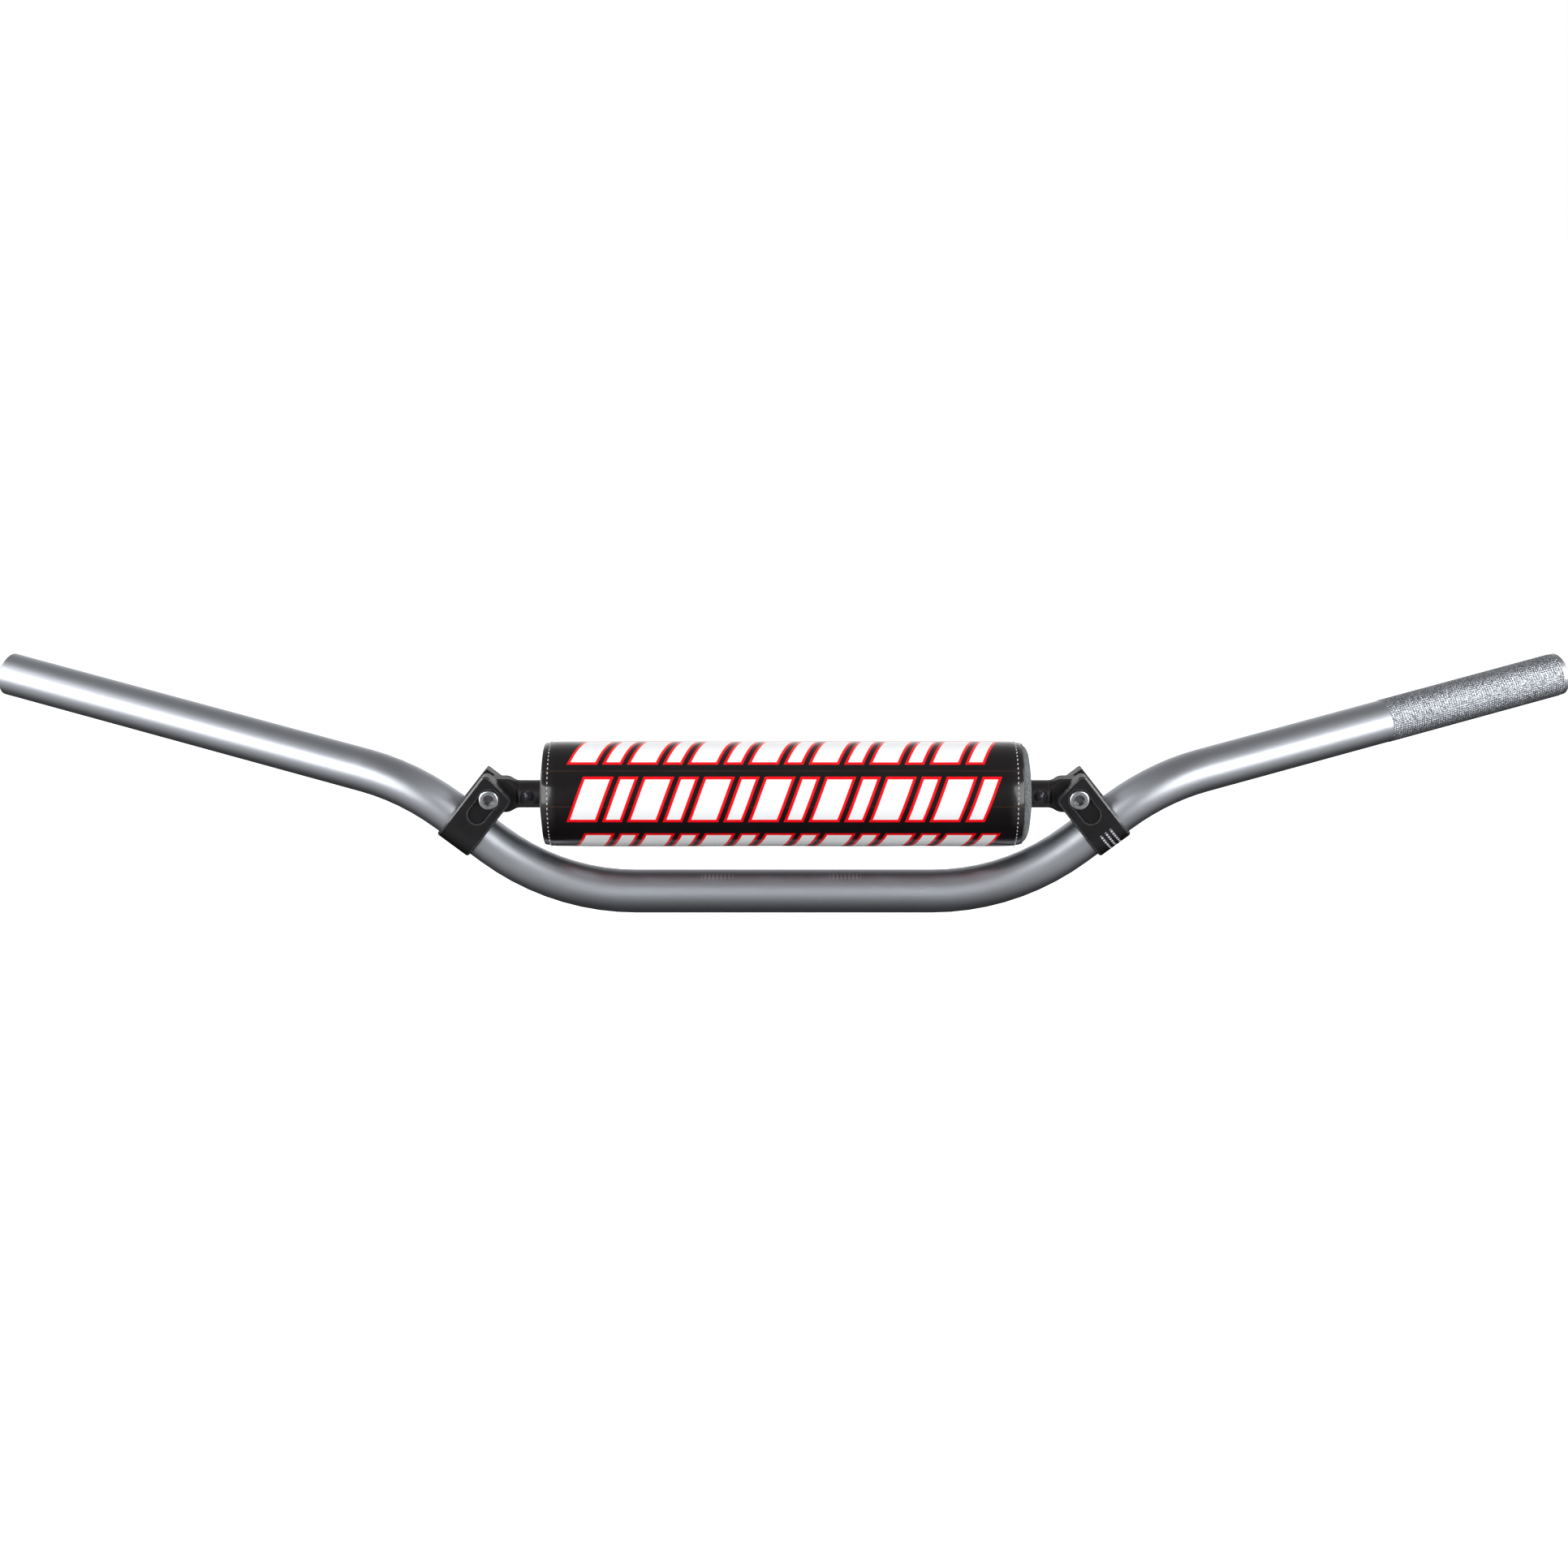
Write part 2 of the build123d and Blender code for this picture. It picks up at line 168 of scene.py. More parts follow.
room = add_node(sky, "Mix", {0: depth, 6: ahead, 7: behind}, data_type="RGBA").outputs[2]
seen = add_node(sky, "LightPath").outputs["Is Camera Ray"]
backdrop = add_node(sky, "Mix", {0: seen, 6: room, 7: backdrop_white}, data_type="RGBA")
sky.links.new(backdrop.outputs[2], sky.nodes["Background"].inputs["Color"])

lamp_distance = 2.2
soft_box_azimuth = math.radians(42.0)
soft_box_elevation = math.radians(10.0)
soft_box_size = (1.7, 1.5)
soft_box_power = 29.0
edge_azimuth = math.radians(80.0)
edge_elevation = math.radians(26.0)
edge_size = (0.5, 1.1)
edge_power = 26.0


def soft_box(name, azimuth, elevation, size, power):
    """A rectangular soft light that faces the bar."""
    back = Vector(
        (
            math.sin(azimuth) * math.cos(elevation),
            -math.cos(azimuth) * math.cos(elevation),
            math.sin(elevation),
        )
    )
    bpy.ops.object.select_all(action="DESELECT")
    bpy.ops.object.light_add(type="AREA", location=camera_aim + back * lamp_distance)
    lamp = bpy.context.object
    lamp.name = name
    lamp.rotation_euler = back.to_track_quat("Z", "Y").to_euler()
    lamp.data.shape = "RECTANGLE"
    lamp.data.size, lamp.data.size_y = size
    lamp.data.energy = power


for side, turn in (("left", 1), ("right", -1)):
    azimuth = turn * soft_box_azimuth
    soft_box(f"{side}_soft_box", azimuth, soft_box_elevation, soft_box_size, soft_box_power)
for side, turn in (("left", 1), ("right", -1)):
    soft_box(f"{side}_edge_light", turn * edge_azimuth, edge_elevation, edge_size, edge_power)


# Handlebar tube: one length of drawn aluminium tube, bent cold, brushed and anodised. The
# clamping length is blasted matt, and pale laser marks on it show where the stem goes.
matt_half_length = 0.0930
matt_fade = 0.012
blast_scale = 5200.0
cloud_scale = 60.0
brushing_scale = (25.0, 3000.0, 3000.0)
brushed_greys = ((0.48, 0.50, 0.54), (0.54, 0.56, 0.60))
matt_greys = ((0.35, 0.37, 0.41), (0.48, 0.50, 0.54))
brushed_roughness = (0.36, 0.44)
matt_roughness = (0.40, 0.50)
tube_relief = 0.000032
brushed_relief_share = 0.15
mark_height = (math.radians(50.0), math.radians(70.0))
mark_strength = 0.55
mark_colour = (0.95, 0.96, 0.98, 1.0)
mark_starts = (-0.0420, 0.0232)
mark_length = 0.0160
mark_pitch = 0.0020
mark_width = 0.0006
mark_blur = 0.0001
mark_band_blur = 0.01


def new_finish(name, **values):
    """A node material whose shader holds these values; returns it, its tree and its shader."""
    finish = bpy.data.materials.new(name)
    finish.use_nodes = True
    shader = finish.node_tree.nodes["Principled BSDF"]
    for socket, value in values.items():
        shader.inputs[socket.replace("_", " ")].default_value = value
    return finish, finish.node_tree, shader


def own_place(tree):
    """The piece's own coordinates: the vector, and its x, y and z."""
    vector = add_node(tree, "TexCoord").outputs["Object"]
    return vector, *add_node(tree, "SeparateXYZ", {0: vector}).outputs


def speckle(tree, vector, scale, detail=2.0):
    """Fine noise from 0 to 1, with this many grains to the metre."""
    return add_node(
        tree, "TexNoise", {"Vector": vector, "Scale": scale, "Detail": detail}
    ).outputs["Fac"]


def between(tree, value, low, high, soft=0.00015):
    """1 where the value lies from low to high, with soft edges, and 0 elsewhere."""
    middle, half = (low + high) / 2, (high - low) / 2
    away = sum_of(tree, "ABSOLUTE", sum_of(tree, "SUBTRACT", value, middle))
    return add_node(
        tree,
        "MapRange",
        {"Value": away, "From Min": half + soft, "From Max": half - soft},
    ).outputs[0]


def spread(tree, share, low, high):
    """A share from 0 to 1 as a value from low to high."""
    return add_node(
        tree, "MapRange", {"Value": share, "To Min": low, "To Max": high}
    ).outputs[0]


def tint(tree, share, first, second):
    """The first colour where share is 0, and the second where it is 1."""
    colours = {0: share, 6: (*first, 1.0), 7: (*second, 1.0)}
    return add_node(tree, "Mix", colours, data_type="RGBA").outputs[2]


def roughen(tree, shader, height, depth):
    """A relief of this depth, in metres, from a height of 0 to 1."""
    relief = add_node(tree, "Bump", {"Height": height, "Distance": depth})
    tree.links.new(relief.outputs["Normal"], shader.inputs["Normal"])


def give_finish(piece, finish):
    """The piece has this finish and no other."""
    piece.data.materials.clear()
    piece.data.materials.append(finish)


alloy, tree, shader = new_finish("satin_anodised_tube", Metallic=1.0)
vector, x, y, z = own_place(tree)
matt = between(tree, x, -matt_half_length, matt_half_length, soft=matt_fade)
grain = speckle(tree, vector, blast_scale)
cloud = speckle(tree, vector, cloud_scale, detail=4.0)
drawn_out = add_node(tree, "Mapping", {0: vector, 3: brushing_scale}).outputs[0]
brushing = speckle(tree, drawn_out, 1.0)
up_the_front = sum_of(tree, "ARCTAN2", z, sum_of(tree, "MULTIPLY", y, -1.0))
mark_band = between(tree, up_the_front, *mark_height, soft=mark_band_blur)
marks = 0.0
for start in mark_starts:
    along = sum_of(tree, "PINGPONG", sum_of(tree, "SUBTRACT", x, start), mark_pitch / 2)
    stroke = between(tree, along, -mark_width / 2, mark_width / 2, soft=mark_blur)
    group = between(tree, x, start, start + mark_length)
    marks = sum_of(tree, "MAXIMUM", marks, sum_of(tree, "MULTIPLY", stroke, group))
marks = sum_of(tree, "MULTIPLY", marks, sum_of(tree, "MULTIPLY", mark_band, mark_strength))
brushed = tint(tree, cloud, *brushed_greys)
blasted = tint(tree, grain, *matt_greys)
surface = add_node(tree, "Mix", {0: matt, 6: brushed, 7: blasted}, data_type="RGBA").outputs[2]
marked = add_node(tree, "Mix", {0: marks, 6: surface, 7: mark_colour}, data_type="RGBA")
tree.links.new(marked.outputs[2], shader.inputs["Base Color"])
smooth_share = spread(tree, brushing, *brushed_roughness)
matt_share = spread(tree, grain, *matt_roughness)
gloss = add_node(tree, "Mix", {0: matt, 2: smooth_share, 3: matt_share}, data_type="FLOAT")
tree.links.new(gloss.outputs[0], shader.inputs["Roughness"])
relief = sum_of(tree, "MULTIPLY", grain, spread(tree, matt, brushed_relief_share, 1.0))
roughen(tree, shader, relief, tube_relief)
give_finish(frame["nodes"]["handlebar_tube"], alloy)


# Grip end: the last stretch on the left is knurled, so that the glued grip can't turn. The
# diamonds are rolled into the tube, and stand a little proud of it.
knurl_length = 0.1000
knurl_end_gap = 0.0032
knurl_round = 60
knurl_long = 74
knurl_height = 0.00022
root_clearance = 0.000005
end_collar_share = 0.985
knurl_grain_scale = 1100.0
knurl_grain_span = (0.33, 0.67)
knurl_greys = ((0.16, 0.17, 0.19), (0.58, 0.60, 0.64))
knurl_roughness = 0.42
knurl_relief = 0.00011
grip_seat = mounts["left_grip_seat"]
tube_radius = grip_seat["dims"]["r_mm"] / 1000
arm_direction = Vector(grip_seat["axis"])
seat_to_arm_end = 0.100


def select_only(piece):
    """The piece alone is selected and active."""
    bpy.ops.object.select_all(action="DESELECT")
    piece.select_set(True)
    bpy.context.view_layer.objects.active = piece


def pick_edges(piece, wanted):
    """In edit mode, selects only the edges for whose two ends wanted is true."""
    bpy.ops.mesh.select_mode(type="EDGE")
    bpy.ops.mesh.select_all(action="DESELECT")
    shape = bmesh.from_edit_mesh(piece.data)
    for edge in shape.edges:
        if wanted(edge.verts[0].co, edge.verts[1].co):
            edge.select_set(True)
    bmesh.update_edit_mesh(piece.data)


def settle(piece, placement):
    """Moves a finished piece to its place, and leaves its object at the origin."""
    piece.matrix_world = placement
    select_only(piece)
    bpy.ops.object.transform_apply(location=True, rotation=True, scale=True)


root_radius = tube_radius / math.cos(math.pi / knurl_round) + root_clearance
bpy.ops.object.select_all(action="DESELECT")
bpy.ops.mesh.primitive_cylinder_add(
    vertices=knurl_round, radius=root_radius, depth=knurl_length, end_fill_type="NOTHING"
)
knurl = bpy.context.object
knurl.name = "left_end_knurl"
bpy.ops.object.mode_set(mode="EDIT")
pick_edges(knurl, lambda a, b: abs(a.z - b.z) > knurl_length / 2)
bpy.ops.mesh.subdivide(number_cuts=knurl_long - 1)
# Each cell is poked, and its sides are halved: the middles of the sides, where only four
# edges meet, are raised into the diamonds' points
bpy.ops.mesh.select_mode(type="FACE")
bpy.ops.mesh.select_all(action="SELECT")
bpy.ops.mesh.poke()
knurl_inner_end = knurl_length / 2 - 0.0001
pick_edges(
    knurl,
    lambda a, b: (abs(a.z - b.z) < 1e-6 or (a.xy - b.xy).length < 1e-6)
    and abs(a.z + b.z) / 2 < knurl_inner_end,
)
bpy.ops.mesh.subdivide(number_cuts=1)
bpy.ops.mesh.select_mode(type="VERT")
bpy.ops.mesh.select_all(action="DESELECT")
knurl_shape = bmesh.from_edit_mesh(knurl.data)
for vertex in knurl_shape.verts:
    vertex.select_set(len(vertex.link_edges) == 4 and abs(vertex.co.z) < knurl_inner_end)
bmesh.update_edit_mesh(knurl.data)
diamond_share = 1 + knurl_height / root_radius
bpy.ops.transform.resize(value=(diamond_share, diamond_share, 1))
bpy.ops.mesh.select_all(action="DESELECT")
bpy.ops.mesh.select_non_manifold()
bpy.ops.mesh.extrude_region_move()
bpy.ops.transform.resize(value=(end_collar_share, end_collar_share, 1.0))
bpy.ops.object.mode_set(mode="OBJECT")
knurl_middle = seat_to_arm_end - knurl_end_gap - knurl_length / 2
knurl_centre = Vector(grip_seat["pos_m"]) + arm_direction * knurl_middle
along_arm = arm_direction.to_track_quat("Z", "Y").to_matrix().to_4x4()
settle(knurl, Matrix.Translation(knurl_centre) @ along_arm)

knurled, tree, shader = new_finish("knurled_tube_end", Metallic=1.0, Roughness=knurl_roughness)
grain = speckle(tree, own_place(tree)[0], knurl_grain_scale)
dark_grain, light_grain = knurl_grain_span
contrast = add_node(
    tree, "MapRange", {"Value": grain, "From Min": dark_grain, "From Max": light_grain}
).outputs[0]
tree.links.new(tint(tree, contrast, *knurl_greys), shader.inputs["Base Color"])
roughen(tree, shader, contrast, knurl_relief)
give_finish(knurl, knurled)
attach(knurl, "bar")


# Crossbar clamps: machined aluminium bands, black anodised, with a painted highlight on their edges.
# The left one carries three short rows of white laser dashes.
clamp_colour = (0.005, 0.0045, 0.0055)
clamp_edge_highlight_colour = (0.20, 0.20, 0.215)
clamp_roughness = 0.30
clamp_relief = 0.000010
edge_highlight_radius = 0.00035
edge_highlight_span = (0.998, 0.95)
patch_scale = 140.0
patch_lightness = 1.6
patch_gloss = (-0.05, 0.07)
anodising_grain_scale = 4200.0
riser_tilt = math.radians(38.15)
dash_rows = (-0.0026, 0.0003, 0.0032)
dash_width = 0.0010
dash_span = (-0.0122, -0.0010)
dash_pitch = 0.0016
dash_gap = 0.00060
dash_blur = 0.0001
dash_end_blur = 0.00008
dash_colour = (0.62, 0.63, 0.70, 1.0)
bolt_reach = 0.0208


def satin_black(name, colour, edge_highlight_colour, roughness, relief_depth):
    """Black anodising: near-black, greyer and rougher in patches, with a painted highlight on its edges."""
    finish, tree, shader = new_finish(name, IOR=1.5)
    vector = own_place(tree)[0]
    patches = speckle(tree, vector, patch_scale, detail=5.0)
    grain = speckle(tree, vector, anodising_grain_scale)
    normal = add_node(tree, "NewGeometry").outputs["Normal"]
    rounded = add_node(tree, "Bevel", {"Radius": edge_highlight_radius}, samples=4).outputs["Normal"]
    # Painted highlight: at the edges, where the bevelled normal turns from the true one, the colour is made
    # lighter in place of their reflections
    flatness = add_node(
        tree, "VectorMath", {0: normal, 1: rounded}, operation="DOT_PRODUCT"
    ).outputs["Value"]
    edge = add_node(
        tree,
        "MapRange",
        {"Value": flatness, "From Min": edge_highlight_span[0], "From Max": edge_highlight_span[1]},
    ).outputs[0]
    body = tint(tree, patches, colour, tuple(patch_lightness * channel for channel in colour))
    layers = {0: edge, 6: body, 7: (*edge_highlight_colour, 1.0)}
    body_with_edge_highlight = add_node(tree, "Mix", layers, data_type="RGBA").outputs[2]
    tree.links.new(body_with_edge_highlight, shader.inputs["Base Color"])
    smoother, rougher = patch_gloss
    gloss = spread(tree, patches, roughness + smoother, roughness + rougher)
    tree.links.new(gloss, shader.inputs["Roughness"])
    roughen(tree, shader, grain, relief_depth)
    return finish, tree, shader, body_with_edge_highlight


# A look is a colour, the colour of its painted edge highlight, a roughness and a depth of relief
clamp_look = (clamp_colour, clamp_edge_highlight_colour, clamp_roughness, clamp_relief)
plain_clamp = satin_black("clamp_anodising", *clamp_look)[0]
give_finish(frame["nodes"]["crossbar_clamp_right"], plain_clamp)

marked_clamp, tree, shader, body_with_edge_highlight = satin_black("clamp_anodising_with_dashes", *clamp_look)
x, y, z = own_place(tree)[1:]
bolt_low, bolt_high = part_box("clamp_bolt_left")
bolt_x = (bolt_low.x + bolt_high.x) / 2
clamp_x = bolt_x + bolt_reach * math.sin(riser_tilt)
clamp_z = crossbar_centre.z - bolt_reach * math.cos(riser_tilt)
from_x = sum_of(tree, "SUBTRACT", x, clamp_x)
from_z = sum_of(tree, "SUBTRACT", z, clamp_z)
along = sum_of(
    tree,
    "ADD",
    sum_of(tree, "MULTIPLY", from_x, math.cos(riser_tilt)),
    sum_of(tree, "MULTIPLY", from_z, math.sin(riser_tilt)),
)
reach = sum_of(
    tree,
    "SUBTRACT",
    sum_of(tree, "MULTIPLY", from_z, math.cos(riser_tilt)),
    sum_of(tree, "MULTIPLY", from_x, math.sin(riser_tilt)),
)
rows = 0.0
for row in dash_rows:
    low, high = row - dash_width / 2, row + dash_width / 2
    line = between(tree, along, low, high, soft=dash_blur)
    rows = sum_of(tree, "MAXIMUM", rows, line)
breaks = sum_of(tree, "PINGPONG", reach, dash_pitch / 2)
dashes = between(tree, breaks, dash_gap / 2, 0.01, soft=dash_end_blur)
facing = sum_of(tree, "LESS_THAN", y, 0.0)
for share in (between(tree, reach, *dash_span), dashes, facing):
    rows = sum_of(tree, "MULTIPLY", rows, share)
marked = add_node(tree, "Mix", {0: rows, 6: body_with_edge_highlight, 7: dash_colour}, data_type="RGBA")
tree.links.new(marked.outputs[2], shader.inputs["Base Color"])
give_finish(frame["nodes"]["crossbar_clamp_left"], marked_clamp)


# Clamp bolts: socket-head steel screws, bright zinc plated, that close the clamps on the
# crossbar's eyes. Their hexagon sockets get a duller grey inside, as painted shade.
socket_shade_radius = 0.0029
socket_shade_fade = 0.0003
socket_shade_grey = (0.30, 0.29, 0.29, 1.0)
zinc_colours = ((0.70, 0.74, 0.79), (0.86, 0.89, 0.93))
zinc_roughness = (0.20, 0.32)
zinc_relief = 0.000012
plating_scale = 420.0

zinc, tree, shader = new_finish("bright_zinc", Metallic=1.0)
vector, x, y, z = own_place(tree)
plating = speckle(tree, vector, plating_scale, detail=3.0)
bright = tint(tree, plating, *zinc_colours)
from_bolt_x = sum_of(tree, "SUBTRACT", sum_of(tree, "ABSOLUTE", x), bolt_x)
from_bolt_z = sum_of(tree, "SUBTRACT", z, crossbar_centre.z)
from_bolt = add_node(tree, "CombineXYZ", {0: from_bolt_x, 1: from_bolt_z})
off_axis = add_node(
    tree, "VectorMath", {0: from_bolt.outputs[0]}, operation="LENGTH"
).outputs["Value"]
# Painted shade: inside the socket radius round each bolt's axis, the zinc is painted a dull grey
socket_shade = add_node(
    tree,
    "MapRange",
    {"Value": off_axis, "From Min": socket_shade_radius, "From Max": socket_shade_radius - socket_shade_fade},
).outputs[0]
zinc_with_socket_shade = add_node(tree, "Mix", {0: socket_shade, 6: bright, 7: socket_shade_grey}, data_type="RGBA")
tree.links.new(zinc_with_socket_shade.outputs[2], shader.inputs["Base Color"])
tree.links.new(spread(tree, plating, *zinc_roughness), shader.inputs["Roughness"])
roughen(tree, shader, plating, zinc_relief)
for side in ("left", "right"):
    give_finish(frame["nodes"][f"clamp_bolt_{side}"], zinc)


# Crossbar: a black anodised aluminium tube with a forged lug pushed into each end. A rivet
# through both holds each lug, and its domed head is painted black.
# The second colour of each look is a painted highlight on the piece's edges
crossbar_look = ((0.011, 0.009, 0.009), (0.06, 0.06, 0.062), 0.36, 0.000010)
lug_look = ((0.010, 0.008, 0.008), (0.07, 0.07, 0.072), 0.38, 0.000016)
rivet_look = ((0.020, 0.020, 0.026), (0.20, 0.20, 0.22), 0.22, 0.000008)
crossbar_black = satin_black("crossbar_anodising", *crossbar_look)[0]
lug_black = satin_black("lug_anodising", *lug_look)[0]
rivet_black = satin_black("rivet_paint", *rivet_look)[0]
give_finish(frame["nodes"]["crossbar_tube"], crossbar_black)
for side in ("left", "right"):
    give_finish(frame["nodes"][f"crossbar_lug_{side}"], lug_black)
    give_finish(frame["nodes"][f"lug_rivet_{side}"], rivet_black)


# Pad foam: a thick sleeve of grey closed-cell foam, slit along its rear so that it opens
# over the crossbar. Its cut ends bulge out of the cover, the right one less than the left.
foam_half_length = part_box("pad_foam")[1].x
foam_radius = 0.0255
foam_bore = 0.00708
foam_rounding = 0.0040
foam_crown = 0.0022
foam_crown_power = 2.5
foam_ripple = 0.00025
foam_ripple_scale = 160
foam_creep = 0.0017
foam_greys = ((0.075, 0.085, 0.088), (0.19, 0.205, 0.21))
foam_roughness = 0.92
foam_relief = 0.00030
cell_scale = 900.0
mottle_scale = 110.0
mottle_share = (0.7, 1.4)
wrap_opening_angle = math.radians(20.0)
wrap_opening = 0.0020
wrap_radius = 0.0268
smooth_angle = math.radians(50)


def sleeve(name, half_length, inner, outer, first, last, rounding, cuts, steps):
    """A sleeve or curved sheet about the crossbar: a rounded strip, cut across and spun."""
    bpy.ops.object.select_all(action="DESELECT")
    bpy.ops.mesh.primitive_plane_add(size=1.0, location=(0.0, (inner + outer) / 2, 0.0))
    piece = bpy.context.object
    piece.name = name
    piece.scale = (2 * half_length, outer - inner, 1.0)
    bpy.ops.object.transform_apply(location=True, scale=True)
    bpy.ops.object.mode_set(mode="EDIT")
    bpy.ops.mesh.select_all(action="SELECT")
    bpy.ops.mesh.bevel(offset=rounding, segments=5, affect="VERTICES")
    bpy.ops.mesh.delete(type="ONLY_FACE")
    pick_edges(piece, lambda a, b: abs(a.x - b.x) > half_length)
    bpy.ops.mesh.subdivide(number_cuts=cuts)
    pick_edges(piece, lambda a, b: abs(a.y - b.y) > (outer - inner) / 3)
    bpy.ops.mesh.subdivide(number_cuts=3)
    bpy.ops.mesh.select_all(action="SELECT")
    bpy.ops.mesh.spin(steps=steps, angle=last - first, center=(0, 0, 0), axis=(-1, 0, 0))
    bpy.ops.mesh.select_all(action="SELECT")
    bpy.ops.mesh.remove_doubles(threshold=1e-7)
    bpy.ops.mesh.select_all(action="DESELECT")
    bpy.ops.mesh.select_non_manifold()
    bpy.ops.mesh.fill()
    bpy.ops.mesh.select_all(action="SELECT")
    bpy.ops.mesh.normals_make_consistent(inside=False)
    bpy.ops.object.mode_set(mode="OBJECT")
    settle(piece, Matrix.Translation(crossbar_centre) @ Matrix.Rotation(first, 4, "X"))
    return piece


def from_crossbar(point):
    """A point's distance from the crossbar's axis, and its angle from the rear upwards."""
    y, z = point.y, point.z - crossbar_centre.z
    return math.hypot(y, z), math.atan2(z, y)


def at_radius(point, radius):
    """The point moved straight out from the crossbar's axis to this radius."""
    angle = from_crossbar(point)[1]
    point.y = radius * math.cos(angle)
    point.z = crossbar_centre.z + radius * math.sin(angle)


wrap_gap = wrap_opening / wrap_radius
wrap_first = wrap_opening_angle + wrap_gap / 2
wrap_last = wrap_opening_angle - wrap_gap / 2 + math.tau
foam = sleeve(
    "pad_foam_sleeve",
    foam_half_length,
    foam_bore,
    foam_radius,
    wrap_first,
    wrap_last,
    foam_rounding,
    cuts=40,
    steps=72,
)
# The creep is all at the right end, and fades to nothing at the left one
for vertex in foam.data.vertices:
    radius, angle = from_crossbar(vertex.co)
    if abs(vertex.co.x) > foam_half_length - foam_rounding:
        across = (radius - foam_bore) / (foam_radius - foam_bore)
        crowned = foam_crown * max(across, 0.0) ** foam_crown_power
        spot = Vector((radius * foam_ripple_scale, 3 * math.cos(angle), 3 * math.sin(angle)))
        vertex.co.x -= math.copysign(crowned + foam_ripple * noise.noise(spot), vertex.co.x)
    vertex.co.x += foam_creep * (0.5 - vertex.co.x / (2 * foam_half_length))
select_only(foam)
bpy.ops.object.shade_smooth_by_angle(angle=smooth_angle)

foam_grey, tree, shader = new_finish("closed_cell_foam", Roughness=foam_roughness)
vector = own_place(tree)[0]
cells = add_node(
    tree, "TexVoronoi", {"Vector": vector, "Scale": cell_scale}
).outputs["Distance"]
mottle = speckle(tree, vector, mottle_scale, detail=4.0)
shade = sum_of(tree, "MULTIPLY", cells, spread(tree, mottle, *mottle_share))
tree.links.new(tint(tree, shade, *foam_greys), shader.inputs["Base Color"])
roughen(tree, shader, cells, foam_relief)
give_finish(foam, foam_grey)
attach(foam, "pad")
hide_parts("pad_foam")


# Pad cover: black coated fabric under a clear gloss film, sewn into a tight sleeve. Plain
# slanted bars are printed round it in three rows, white with a red outline.
cover_low, cover_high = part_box("pad_cover")
cover_half_length = cover_high.x
cover_radius = (cover_high.z - cover_low.z) / 2
cover_thickness = 0.0013
cover_rounding = 0.0005
stitch_inset = 0.0033
stitch_draw = 0.00042
stitch_draw_width = 0.0011
hem_curl = 0.0010
cover_wave = 0.00028
cover_wave_scale = 22
cover_wave_turns = 1.7
cover_pucker = 0.00022
cover_pucker_scale = 60
cover_pucker_turns = 9.0
cover_pucker_base = 0.6
cover_pucker_reach = 0.010
cover_creep = 0.0012
print_rows = (math.radians(107.0), math.radians(172.0), math.radians(238.5))
print_height = 0.0236
print_half_length = 0.1040
print_slant = 0.36
print_outline = 0.00145
print_period = 0.0301
print_bars = ((0.0, 0.0152), (0.0178, 0.0275))
print_blur = 0.0001
print_red = (0.93, 0.002, 0.008, 1.0)
print_white = (0.90, 0.91, 0.92, 1.0)
brownish_line_angles = (math.radians(140.0), math.radians(179.5))
brownish_line_half_width = 0.012
brownish_line_blur = 0.01
brownish_line_patch_scale = 40.0
brownish_line_colour = (0.045, 0.022, 0.012, 1.0)
vinyl_blacks = ((0.004, 0.0032, 0.0040), (0.010, 0.0078, 0.0086))
vinyl_roughness = (0.17, 0.26)
vinyl_relief = 0.00010
vinyl_mottle_scale = 75.0
vinyl_weave_scale = 2600.0
vinyl_weave_share = 0.12


def crease(x, angle):
    """How far the cover sinks: drawn in at its stitching, and in soft waves elsewhere."""
    from_stitch = abs(x) - (cover_half_length - stitch_inset)
    drawn = stitch_draw * math.exp(-((from_stitch / stitch_draw_width) ** 2))
    curled = hem_curl * max(0.0, from_stitch / stitch_inset) ** 2
    round_pad = Vector((math.cos(angle), math.sin(angle), 0))
    wave = noise.noise(Vector((x * cover_wave_scale, 0, 0)) + cover_wave_turns * round_pad)
    along_pad = Vector((x * cover_pucker_scale, 0, 0))
    pucker = noise.noise(along_pad + cover_pucker_turns * round_pad)
    near_end = math.exp(-abs(from_stitch) / cover_pucker_reach)
    waved = cover_wave * (0.5 + 0.5 * wave)
    return drawn + curled + waved + cover_pucker * near_end * (cover_pucker_base + pucker)


cover = sleeve(
    "pad_cover_sleeve",
    cover_half_length,
    cover_radius - cover_thickness,
    cover_radius,
    wrap_first,
    wrap_last,
    cover_rounding,
    cuts=220,
    steps=96,
)
for vertex in cover.data.vertices:
    radius, angle = from_crossbar(vertex.co)
    at_radius(vertex.co, radius - crease(vertex.co.x, angle))
    vertex.co.x -= cover_creep * (0.5 - vertex.co.x / (2 * cover_half_length))
select_only(cover)
bpy.ops.object.shade_smooth_by_angle(angle=smooth_angle)


def gloss_vinyl(name):
    """Black coated fabric with a clear film: faint weave under a glossy, slightly wavy skin."""
    finish, tree, shader = new_finish(name, IOR=1.45, Coat_Weight=0.60, Coat_Roughness=0.05)
    vector = own_place(tree)[0]
    mottle = speckle(tree, vector, vinyl_mottle_scale, detail=4.0)
    weave = speckle(tree, vector, vinyl_weave_scale)
    colour = tint(tree, mottle, *vinyl_blacks)
    tree.links.new(colour, shader.inputs["Base Color"])
    tree.links.new(spread(tree, mottle, *vinyl_roughness), shader.inputs["Roughness"])
    waves = sum_of(tree, "ADD", sum_of(tree, "MULTIPLY", weave, vinyl_weave_share), mottle)
    roughen(tree, shader, waves, vinyl_relief)
    return finish, tree, shader, colour


